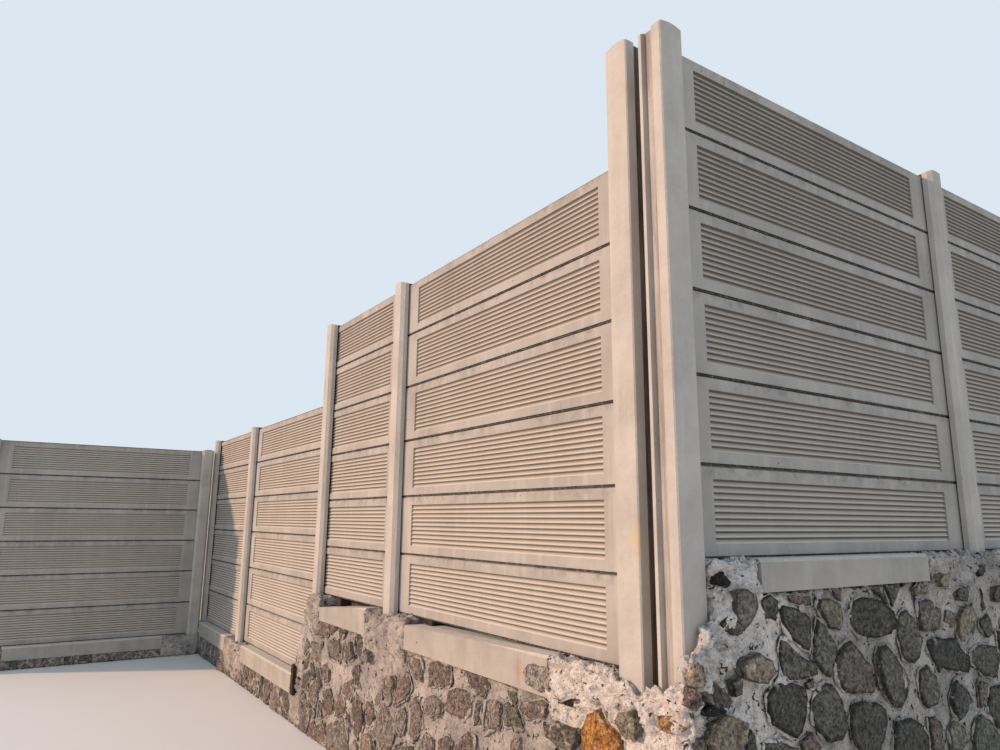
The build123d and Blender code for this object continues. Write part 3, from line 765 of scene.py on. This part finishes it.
# Each side: a corner, the direction along it, its outward direction, its width and height, the parts that
# mortar covers, as least and most along and least and most up, and the outlines of the stones traced from
# the photo, each as centimetres along and up, point after point. Sides with "loose" have no pointing.
wallSides = {
    "right": [
        {"corner": (0.07, -0.09, 0), "along": (1, 0, 0), "outward": (0, -1, 0), "size": (5.07, 1.46),
         "mix": darkMix,
         "covered": [(-0.1, 0.4, 0.85, 1.6), (1.66, 2.8, 1.33, 1.6), (4.505, 5.185, 1.32, 1.6)],
         "traced": [
            ("basalt", (30, 139, 33, 136, 38, 135, 41, 138, 41, 142, 36, 144, 31, 143)),
            ("charcoal", (42, 138, 44, 133, 49, 127, 56, 122, 61, 120, 63, 124, 64, 132, 60, 136, 53, 138,
             44, 140)),
            ("purple", (51, 141, 58, 140, 65, 139, 66, 143, 56, 143, 48, 144)),
            ("charcoal", (65, 124, 64, 116, 70, 110, 75, 108, 79, 114, 81, 119, 79, 122, 74, 129, 69, 132)),
            ("olive", (70, 138, 73, 134, 78, 129, 85, 127, 88, 132, 88, 138, 80, 140, 71, 141)),
            ("basalt", (95, 134, 97, 127, 102, 123, 112, 122, 123, 123, 129, 128, 126, 133, 118, 138,
             108, 140, 100, 139)),
            ("charcoal", (41, 118, 42, 110, 52, 110, 61, 111, 61, 115, 56, 117, 50, 120, 45, 125, 42, 126)),
            ("greyBrown", (81, 114, 81, 107, 85, 101, 93, 99, 107, 98, 108, 103, 105, 110, 97, 117, 92, 121,
             85, 119)),
            ("charcoal", (113, 111, 114, 106, 118, 97, 123, 91, 131, 88, 139, 92, 142, 98, 136, 106, 130, 112,
             125, 116, 116, 116)),
            ("basalt", (31, 104, 31, 99, 33, 94, 40, 90, 46, 87, 50, 89, 53, 94, 55, 100, 54, 105, 49, 107,
             41, 109, 35, 107)),
            ("charcoal", (62, 99, 61, 92, 64, 87, 69, 82, 76, 82, 81, 86, 81, 91, 80, 98, 76, 104, 71, 105,
             66, 103)),
            ("brown", (58, 105, 62, 105, 62, 108, 56, 107)),
            ("basalt", (88, 87, 90, 79, 95, 73, 110, 71, 114, 76, 117, 82, 117, 89, 110, 92, 100, 94,
             92, 94)),
            ("charcoal", (27, 80, 46, 77, 47, 82, 39, 85, 28, 87)),
            ("purple", (52, 77, 63, 77, 62, 81, 58, 86, 51, 84)),
            ("charcoal", (135, 124, 136, 116, 138, 110, 145, 108, 150, 110, 153, 117, 153, 123, 150, 128,
             144, 132, 137, 130)),
            ("greyBrown", (156, 126, 158, 122, 168, 121, 176, 122, 178, 130, 173, 133, 167, 136, 157, 136)),
            ("basalt", (162, 112, 167, 106, 170, 100, 175, 102, 189, 99, 201, 97, 203, 105, 193, 110,
             188, 115, 179, 115, 173, 117, 164, 116)),
            ("charcoal", (207, 101, 217, 95, 229, 92, 231, 101, 230, 108, 218, 109, 207, 107)),
            ("charcoal", (150, 97, 151, 89, 156, 85, 165, 86, 169, 92, 168, 98, 160, 104, 151, 102)),
            ("basalt", (179, 86, 181, 80, 187, 75, 194, 78, 204, 81, 199, 88, 188, 94, 185, 93)),
            ("charcoal", (219, 78, 220, 74, 228, 66, 243, 68, 246, 86, 223, 87)),
            ("charcoal", (199, 64, 200, 56, 231, 51, 232, 56, 225, 64, 219, 70, 211, 74, 204, 72)),
            ("basalt", (123, 75, 122, 66, 151, 61, 153, 65, 152, 72, 147, 78, 139, 81, 126, 82)),
            ("brown", (155, 70, 157, 62, 166, 61, 167, 68, 168, 76, 163, 79, 156, 79)),
            ("tan", (194, 125, 195, 116, 197, 113, 205, 112, 214, 118, 216, 126, 212, 132, 200, 130)),
            ("olive", (156, 139, 166, 140, 168, 144, 160, 145, 153, 142))]},
        {"corner": (5.14, 0.23, 0), "along": (-1, 0, 0), "outward": (0, 1, 0), "size": (5.07, 1.46),
         "mix": darkMix, "covered": haunchCover((0.225, 2.685), 0.3, 1.24, 1.6)},
        {"corner": (5.14, -0.09, 0), "along": (0, 1, 0), "outward": (1, 0, 0), "size": (0.32, 1.46),
         "mix": darkMix},
        # single stones in the haunches
        {"corner": (0, -0.118, 0), "along": (1, 0, 0), "outward": (0, -1, 0), "loose": [
            (1.86, 1.46, 0.06, 0.04, "tan"), (2.06, 1.38, 0.07, 0.05, "charcoal"),
            (2.3, 1.5, 0.05, 0.04, "basalt"), (2.48, 1.36, 0.08, 0.05, "greyBrown"),
            (2.66, 1.47, 0.05, 0.04, "charcoal"), (4.6, 1.42, 0.07, 0.05, "brown")],
         "traced": [
            ("greyBrown", (18, 142, 18, 136, 22, 132, 27, 137, 30, 141, 28, 145, 23, 148, 17, 147)),
            ("brown", (10, 133, 17, 131, 20, 131, 21, 133, 18, 135, 12, 138, 8, 135)),
            ("tan", (21, 114, 27, 112, 33, 111, 38, 115, 37, 119, 30, 122, 23, 121, 19, 118)),
            ("charcoal", (15, 108, 19, 108, 19, 112, 17, 114, 12, 113))]},
        # the dark hollows beside the outer corner post are broken stone set deeper, painted near black as
        # shade
        {"corner": (0, -0.112, 0), "along": (1, 0, 0), "outward": (0, -1, 0), "loose": [],
         "traced": [
            ("hollow", (8.5, 151, 12, 150, 14, 151.5, 12, 153, 10.5, 155, 8.5, 153))]},
    ],
    "left_upper": [
        {"corner": (-0.09, 4.27, 0), "along": (0, -1, 0), "outward": (-1, 0, 0), "size": (4.36, 0.925),
         "mix": warmMix, "joints": 1.5, "coarseness": 1.45,
         "covered": [(3.4, 4.4, 0.7, 1.2), (1.25, 1.8, 0.62, 1.2), (-0.1, 0.36, 0.7, 1.2)],
         "traced": [
            ("brown", (248, 67, 258, 66, 269, 66, 276, 74, 278, 82, 261, 80, 254, 78)),
            ("greyBrown", (290, 71, 289, 62, 296, 67, 304, 69, 307, 75, 308, 82, 296, 81, 292, 79)),
            ("brown", (228, 76, 251, 80, 253, 84, 253, 91, 233, 91, 227, 89)),
            ("greyBrown", (219, 63, 222, 59, 231, 59, 243, 64, 243, 69, 234, 72, 224, 68)),
            ("brown", (280, 70, 281, 66, 285, 69, 287, 77, 282, 77)),
            ("brown", (200, 84, 207, 78, 217, 78, 218, 85, 214, 89, 198, 89)),
            ("brown", (179, 55, 196, 63, 204, 71, 197, 79, 187, 76, 179, 65)),
            ("purple", (264, 52, 262, 48, 279, 53, 280, 59, 273, 60, 269, 56)),
            ("brown", (242, 43, 254, 46, 256, 50, 251, 53, 242, 49)),
            ("tan", (316, 61, 325, 64, 324, 69, 317, 66)),
            ("charcoal", (315, 86, 320, 84, 322, 87, 320, 89, 314, 89)),
            ("greyBrown", (324, 83, 329, 80, 337, 81, 344, 83, 346, 89, 342, 90, 334, 87, 326, 86)),
            ("greyBrown", (183, 39, 192, 41, 197, 50, 193, 56, 182, 51)),
            ("greyBrown", (58, 67, 80, 67, 83, 75, 78, 83, 52, 78)),
            ("greyBrown", (86, 69, 96, 68, 111, 76, 106, 85, 86, 81)),
            ("brown", (91, 46, 104, 44, 110, 51, 109, 59, 92, 53))]},
        {"corner": (0.23, 0.23, 0), "along": (0, 1, 0), "outward": (1, 0, 0), "size": (4.04, 0.925),
         "mix": warmMix, "covered": haunchCover((2.485, 4.0), 0.32, 0.7, 1.2)},
        {"corner": (0.23, 4.27, 0.2), "along": (-1, 0, 0), "outward": (0, 1, 0), "size": (0.32, 0.72),
         "mix": warmMix},
        {"corner": (-0.09, -0.09, 0), "along": (1, 0, 0), "outward": (0, -1, 0), "size": (0.16, 0.95),
         "mix": warmMix},
        # single stones in the heap at the outer corner and in the other haunches
        {"corner": (-0.128, 0.8, 0), "along": (0, -1, 0), "outward": (-1, 0, 0), "loose": [],
         "traced": [
            ("orange", (30, 73, 54, 79, 54, 86, 49, 89, 43, 92, 40, 95, 35, 92, 31, 86, 30, 77)),
            ("olive", (56, 90, 59, 89, 64, 90, 64, 96, 62, 99, 56, 97, 53, 94)),
            ("yellow", (77, 97, 81, 96, 86, 96, 89, 99, 84, 102, 78, 101)),
            ("charcoal", (5, 77, 13, 75, 21, 75, 26, 79, 26, 84, 19, 83, 11, 84, 3, 81)),
            # a near-black stone: painted shade in a hollow
            ("hollow", (22, 94, 26, 94, 27, 97, 22, 96, 17, 94))]},
        # a squared grey stone set flush in the end of the beam
        {"corner": (-0.103, 0.8, 0), "along": (0, -1, 0), "outward": (-1, 0, 0), "loose": [],
         "traced": [
            ("grey", (-17, 101, -14, 96, -4, 95, 3, 95, 4, 101, 2, 106, -9, 105.5, -14, 105))]},
        {"corner": (-0.122, 4.27, 0), "along": (0, -1, 0), "outward": (-1, 0, 0), "loose": [
            (1.38, 0.8, 0.06, 0.05, "greyBrown"), (1.78, 0.7, 0.07, 0.05, "tan")]},
        {"corner": (0, -0.136, 0), "along": (1, 0, 0), "outward": (0, -1, 0), "loose": [],
         "traced": [
            ("basalt", (-6, 109, -3, 108, 1, 106, 7, 105, 9, 107, 6, 111, 1, 114, -5, 112)),
            # a near-black stone: painted shade in a hollow
            ("hollow", (-4, 103, 4, 103, 5, 104, 0, 106, -5, 105)),
            ("tan", (-3, 94, 1, 90, 11, 89, 16, 92, 16, 98, 8, 101, 1, 99)),
            ("tan", (-12, 117, -11, 115, -6, 115, -5, 117, -7, 121, -11, 122)),
            ("purple", (-14, 108, -11, 106, -8, 108, -9, 111, -12, 113))]},
    ],
    "left_lower": [
        {"corner": (-0.09, 8.41, 0), "along": (0, -1, 0), "outward": (-1, 0, 0), "size": (4.14, 0.235),
         "mix": warmMix, "coarseness": 0.75},
        {"corner": (0.23, 4.27, 0), "along": (0, 1, 0), "outward": (1, 0, 0), "size": (4.5, 0.235),
         "mix": warmMix, "coarseness": 0.75},
        {"corner": (0.23, 8.77, 0), "along": (-1, 0, 0), "outward": (0, 1, 0), "size": (0.32, 0.235),
         "mix": warmMix, "coarseness": 0.75},
    ],
    "far": [
        {"corner": (-2.855, 8.41, 0), "along": (1, 0, 0), "outward": (0, -1, 0), "size": (2.76, 0.105),
         "mix": warmMix, "coarseness": 0.55},
        {"corner": (-0.09, 8.73, 0), "along": (-1, 0, 0), "outward": (0, 1, 0), "size": (2.76, 0.105),
         "mix": warmMix, "coarseness": 0.55},
    ],
}
for sides in wallSides.values():
    for side in sides:
        side["traced"] = [(tone, [(u / 100, v / 100) for u, v in zip(numbers[::2], numbers[1::2])])
                          for tone, numbers in side.get("traced", [])]

# A stone: its outline drawn out, its edge chamfered, and its face leaning and rough
stoneTree, add, given = startTree("rubbleStones", {
    "Stand out": ("NodeSocketFloat", rubble["standOut"]),
    "Bedding": ("NodeSocketFloat", rubble["bedding"]),
    "Chamfer": ("NodeSocketFloat", 0.004),
    "Roughness": ("NodeSocketFloat", 0.009),
    "Rough size": ("NodeSocketFloat", 0.06),
    "Outward": ("NodeSocketVector", (0, -1, 0)),
    "Subdivisions": ("NodeSocketInt", 1),
    "Seed": ("NodeSocketInt", 1),
    "Finish": ("NodeSocketMaterial", None),
})
chance = add("FunctionNodeRandomValue", {2: 0.1, 3: 1.0, "ID": add("GeometryNodeInputIndex"),
                                         "Seed": given["Seed"]}, data_type="FLOAT").outputs[1]
rise = add("ShaderNodeMath", {0: chance, 1: given["Stand out"], 2: given["Bedding"]},
           operation="MULTIPLY_ADD")
drawn = add("GeometryNodeExtrudeMesh", {"Mesh": given["Geometry"], "Offset Scale": rise}, mode="FACES")
tops = [drawn.outputs["Top"]]
# the chamfer at the edge of the face, then two rings inside it
for out, share in ((given["Chamfer"], 0.94), (0.0015, 0.66), (0.0015, 0.5)):
    ring = add("GeometryNodeExtrudeMesh", {"Mesh": drawn, "Selection": tops[-1], "Offset Scale": out},
               mode="FACES").outputs
    drawn = add("GeometryNodeScaleElements", {"Geometry": ring["Mesh"], "Selection": ring["Top"],
                                               "Scale": share})
    tops.append(ring["Top"])
rim = add("ShaderNodeMath", {0: 1.0, 1: tops[2]}, operation="SUBTRACT")
rimStored = add("GeometryNodeStoreNamedAttribute", {"Geometry": drawn, "Name": "rim", "Value": rim},
                data_type="FLOAT", domain="POINT")
underside = add("GeometryNodeFlipFaces", {"Mesh": given["Geometry"]})
closed = add("GeometryNodeJoinGeometry")
for part in (rimStored, underside):
    stoneTree.links.new(part.outputs[0], closed.inputs[0])
welded = add("GeometryNodeMergeByDistance", {"Geometry": closed, "Distance": 0.00005})
finer = add("GeometryNodeSubdivideMesh", {"Mesh": welded, "Level": given["Subdivisions"]})
spot = add("GeometryNodeInputPosition")
middle = add("GeometryNodeInputNamedAttribute", {"Name": "middle"}, data_type="FLOAT_VECTOR")
leaning = add("GeometryNodeInputNamedAttribute", {"Name": "lean"}, data_type="FLOAT_VECTOR")
fromMiddle = add("ShaderNodeVectorMath", {0: spot, 1: middle}, operation="SUBTRACT")
tilt = add("ShaderNodeVectorMath", {0: fromMiddle, 1: leaning}, operation="DOT_PRODUCT").outputs["Value"]
roughScale = add("ShaderNodeMath", {0: 1.0, 1: given["Rough size"]}, operation="DIVIDE")
roughNoise = add("ShaderNodeTexNoise", {"Vector": spot, "Scale": roughScale, "Detail": 4.0, "Roughness": 0.6})
roughHeight = add("ShaderNodeMapRange", {"Value": roughNoise, "From Min": 0.3, "From Max": 0.7,
                                         "To Min": -1.0, "To Max": 1.0})
height = add("ShaderNodeMath", {0: roughHeight, 1: given["Roughness"], 2: tilt}, operation="MULTIPLY_ADD")
push = add("ShaderNodeVectorMath", {0: given["Outward"], "Scale": height}, operation="SCALE")
endTree(add, add("GeometryNodeSetPosition", {"Geometry": finer, "Offset": push}), given["Finish"])

# Pointing: a bead of mortar pressed round each stone, broken off in places
pointing = {"Width": 0.0115, "Flatness": 0.5, "Step": 0.02, "backStep": 0.035, "Wander": 0.005,
            "outside": 0.005}
beadTree, add, given = startTree("pointingBeads", {
    "Width": ("NodeSocketFloat", pointing["Width"]),
    "Flatness": ("NodeSocketFloat", pointing["Flatness"]),
    "Outward": ("NodeSocketVector", (0, -1, 0)),
    "Level": ("NodeSocketFloat", 0.0),
    "Step": ("NodeSocketFloat", pointing["Step"]),
    "Wander": ("NodeSocketFloat", pointing["Wander"]),
    "Finish": ("NodeSocketMaterial", None),
})
asCurve = add("GeometryNodeMeshToCurve", {"Mesh": given["Geometry"]})
evenly = add("GeometryNodeResampleCurve", {"Curve": asCurve, "Length": given["Step"]}, mode="LENGTH")
spot = add("GeometryNodeInputPosition")
fullness = add("ShaderNodeTexNoise", {"Vector": spot, "Scale": 13.0, "Detail": 3.0})
thickness = add("ShaderNodeMapRange", {"Value": fullness, "From Min": 0.43, "From Max": 0.63, "To Min": 0.08,
                                       "To Max": 1.45})
profile = add("GeometryNodeCurvePrimitiveCircle", {"Resolution": 6, "Radius": given["Width"]})
tube = add("GeometryNodeCurveToMesh", {"Curve": evenly, "Profile Curve": profile, "Scale": thickness})
wobble = add("ShaderNodeTexNoise", {"Vector": spot, "Scale": 55.0, "Detail": 2.0}).outputs[1]
wobble = add("ShaderNodeVectorMath", {0: wobble, 1: (0.5, 0.5, 0.5)}, operation="SUBTRACT")
wobbleScale = add("ShaderNodeMath", {0: given["Wander"], 1: 4.0}, operation="MULTIPLY")
wobblePush = add("ShaderNodeVectorMath", {0: wobble, "Scale": wobbleScale}, operation="SCALE")
# the trowel flattens the bead towards the face of the wall
outOfWall = add("ShaderNodeVectorMath", {0: spot, 1: given["Outward"]},
                operation="DOT_PRODUCT").outputs["Value"]
fromLevel = add("ShaderNodeMath", {0: outOfWall, 1: given["Level"]}, operation="SUBTRACT")
pressed = add("ShaderNodeMath", {0: fromLevel, 1: given["Flatness"]}, operation="MULTIPLY")
pressed = add("ShaderNodeMath", {0: pressed, 1: -1.0}, operation="MULTIPLY")
pressPush = add("ShaderNodeVectorMath", {0: given["Outward"], "Scale": pressed}, operation="SCALE")
push = add("ShaderNodeVectorMath", {0: wobblePush, 1: pressPush}, operation="ADD")
moved = add("GeometryNodeSetPosition", {"Geometry": tube, "Offset": push})
endTree(add, add("GeometryNodeSetShadeSmooth", {"Geometry": moved}), given["Finish"])


def placedPoint(side, u, v, out=0.0):
    corner, along, outward = (Vector(side[key]) for key in ("corner", "along", "outward"))
    return corner + along * u + Vector((0, 0, v)) + outward * out


def joinedMesh(name, parts):
    # one mesh out of several pieces, which are removed
    shape = bmesh.new()
    materials = []
    for part in parts:
        shape.from_mesh(part.data)
        materials = materials or list(part.data.materials)
        bpy.data.objects.remove(part)
    mesh = bpy.data.meshes.new(name)
    shape.to_mesh(mesh)
    shape.free()
    for material in materials:
        mesh.materials.append(material)
    return meshObject(name, mesh)


for runName, sides in wallSides.items():
    stonePieces, beadPieces = [], []
    for number, side in enumerate(sides):
        dice = random.Random(f"{runName}{number}")
        stones = stoneOutlines(side, dice)
        if not stones:
            continue
        mesh = bpy.data.meshes.new("outlines")
        points, faces = [], []
        for outline, centre, tone in stones:
            faces.append(list(range(len(points), len(points) + len(outline))))
            points += [placedPoint(side, u, v, -rubble["bedding"]) for u, v in outline]
        mesh.from_pydata(points, [], faces)
        along, outward = Vector(side["along"]), Vector(side["outward"])
        if mesh.polygons[0].normal.dot(outward) < 0:
            mesh.flip_normals()
        tint = mesh.attributes.new("tint", "FLOAT_COLOR", "FACE")
        middle = mesh.attributes.new("middle", "FLOAT_VECTOR", "FACE")
        lean = mesh.attributes.new("lean", "FLOAT_VECTOR", "FACE")
        for face, (outline, centre, tone) in enumerate(stones):
            shade = dice.uniform(0.8, 1.2) * (1.0 if runName == "right" else rubble["bleach"])
            tint.data[face].color = [c * shade for c in toLinear(stoneTints[tone])[:3]] + [1.0]
            middle.data[face].vector = placedPoint(side, *centre)
            slope = rubble["lean"] * dice.random() ** 1.5
            turn = dice.uniform(0, 2 * math.pi)
            lean.data[face].vector = along * slope * math.cos(turn) + Vector((0, 0, slope * math.sin(turn)))
        isFront = number == 0 or "loose" in side
        standsFull = runName == "right" or "loose" in side
        piece = dressed(meshObject("stones", mesh), stoneTree,
                        {"Outward": side["outward"], "Subdivisions": 1 if isFront else 0, "Seed": number + 1,
                         "Stand out": rubble["standOut"] * (1.0 if standsFull else rubble["sunnyStandOut"]),
                         "Finish": rubbleStone if runName == "right" else sunnyStone})
        stonePieces.append(frozen(piece, "stones"))
        if "loose" in side:
            continue
        loops = bpy.data.meshes.new("loops")
        points, edges = [], []
        for outline, centre, tone in stones:
            first = len(points)
            for u, v in outline:
                away = max(math.dist((u, v), centre), 0.01)
                grow = 1 + pointing["outside"] / away
                points.append(placedPoint(side, centre[0] + (u - centre[0]) * grow,
                                          max(centre[1] + (v - centre[1]) * grow, 0.02)))
            edges += [(first + k, first + (k + 1) % len(outline)) for k in range(len(outline))]
        loops.from_pydata(points, edges, [])
        piece = dressed(meshObject("beads", loops), beadTree,
                        {"Finish": beddingMortar, "Step": pointing["Step" if isFront else "backStep"],
                         "Outward": side["outward"], "Level": outward.dot(Vector(side["corner"]))})
        beadPieces.append(frozen(piece, "beads"))
    stonesPiece = hold(joinedMesh(f"{runName}_rubble_stones", stonePieces))
    beadsPiece = hold(joinedMesh(f"{runName}_pointing", beadPieces))
    print("stones:", runName, len(stonesPiece.data.polygons), "faces, pointing",
          len(beadsPiece.data.polygons))


# Lights, floor and camera
sunLight = {"towards": (-1.0, 0.47, 0.43), "strength": 3.7, "colour": "#ffd2ae", "angle": 2.5}
lamp = bpy.data.lights.new("key", "SUN")
lamp.energy = sunLight["strength"]
lamp.color = toLinear(sunLight["colour"])[:3]
lamp.angle = math.radians(sunLight["angle"])
lampObject = bpy.data.objects.new("key", lamp)
lampObject.rotation_euler = Vector(sunLight["towards"]).to_track_quat("Z", "Y").to_euler()
bpy.context.scene.collection.objects.link(lampObject)

world = bpy.data.worlds.new("studio")
bpy.context.scene.world = world
world.use_nodes = True
worldTree = world.node_tree
studio = {"sky": "#d9ecff", "level": 0.885, "background": "#dce7f1"}
skyLight = worldTree.nodes["Background"]
skyLight.inputs["Color"].default_value = toLinear(studio["sky"])
skyLight.inputs["Strength"].default_value = studio["level"]
seenSky = addNode(worldTree, "ShaderNodeBackground", {"Color": toLinear(studio["background"])})
rays = addNode(worldTree, "ShaderNodeLightPath")
chosenSky = addNode(worldTree, "ShaderNodeMixShader",
                    {0: rays.outputs["Is Camera Ray"], 1: skyLight.outputs[0], 2: seenSky.outputs[0]})
worldTree.links.new(chosenSky.outputs[0], worldTree.nodes["World Output"].inputs["Surface"])

floorMaterial, _ = startMaterial("pale_floor")
floorShader = floorMaterial.node_tree.nodes["Principled BSDF"]
floorShader.inputs["Base Color"].default_value = toLinear("#d9d6d1")
floorShader.inputs["Roughness"].default_value = 0.95
floorMesh = bpy.data.meshes.new("floor")
floorReach, floorLevel = 90.0, -0.001
corners = ((-1, -1), (1, -1), (1, 1), (-1, 1))
floorMesh.from_pydata([(x * floorReach, y * floorReach, floorLevel) for x, y in corners], [], [(0, 1, 2, 3)])
floorMesh.materials.append(floorMaterial)
meshObject("floor", floorMesh)

# the camera of the photo, from the fit of its points
cameraView = {"place": (-2.3298, -2.1547, 1.7510), "yaw": -33.375, "pitch": 11.409, "roll": 0.524,
              "lens": 26.014}
camera = bpy.data.cameras.new("camera")
camera.lens = cameraView["lens"]
camera.sensor_width = 36.0
camera.sensor_fit = "HORIZONTAL"
camera.clip_end = 500.0
cameraObject = bpy.data.objects.new("camera", camera)
cameraObject.matrix_world = (Matrix.Translation(cameraView["place"])
                             @ Matrix.Rotation(math.radians(cameraView["yaw"]), 4, "Z")
                             @ Matrix.Rotation(math.radians(90 + cameraView["pitch"]), 4, "X")
                             @ Matrix.Rotation(math.radians(cameraView["roll"]), 4, "Z"))
bpy.context.scene.collection.objects.link(cameraObject)
bpy.context.scene.camera = cameraObject
bpy.context.scene.view_settings.view_transform = "Standard"
print("light, floor and camera set")
